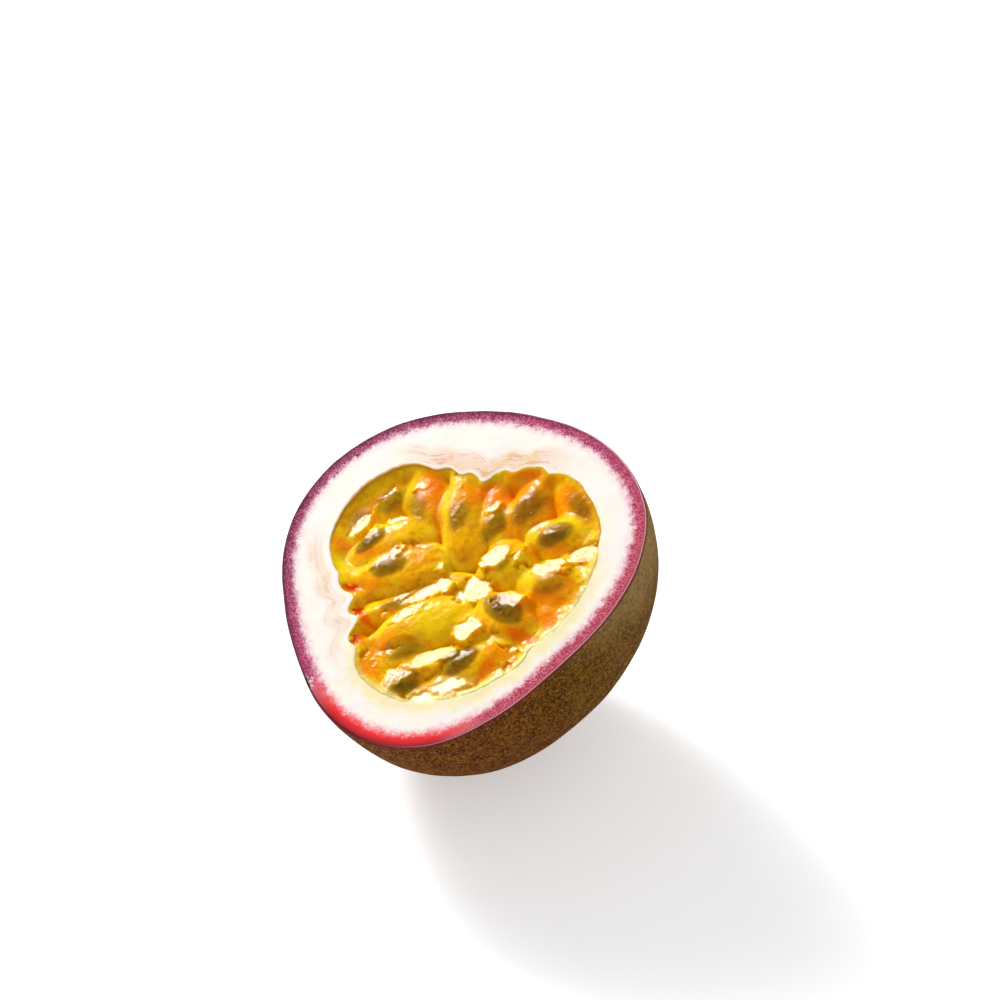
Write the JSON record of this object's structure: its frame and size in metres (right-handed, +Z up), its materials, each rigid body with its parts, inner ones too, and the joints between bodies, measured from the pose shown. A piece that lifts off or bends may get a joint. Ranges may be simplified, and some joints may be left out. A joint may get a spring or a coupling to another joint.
{
  "type": "passion fruit half",
  "caption": "Half of a purple passion fruit, cut across and lying on its skin with the cut face up: a thick rind holding juicy pulp of seed sacs.",
  "frame": {"origin": "middle of the small flat spot under the rind that the half rests on", "axes": "+Z up; the cut face looks up and leans towards -Y by 25.25 degrees; +X lies in the cut face"},
  "size_m": [0.0558, 0.055, 0.0451],
  "materials": {
    "skin_and_pith": "satin brown-purple skin with fine pale specks outside; matt cream pith with a magenta edge on the cut",
    "juicy_pulp": "wet, clear golden-yellow jelly with olive-brown seeds in it"
  },
  "bodies": {
    "root": {"rind": "skin_and_pith", "pulp": "juicy_pulp"}
  },
  "joints": []
}
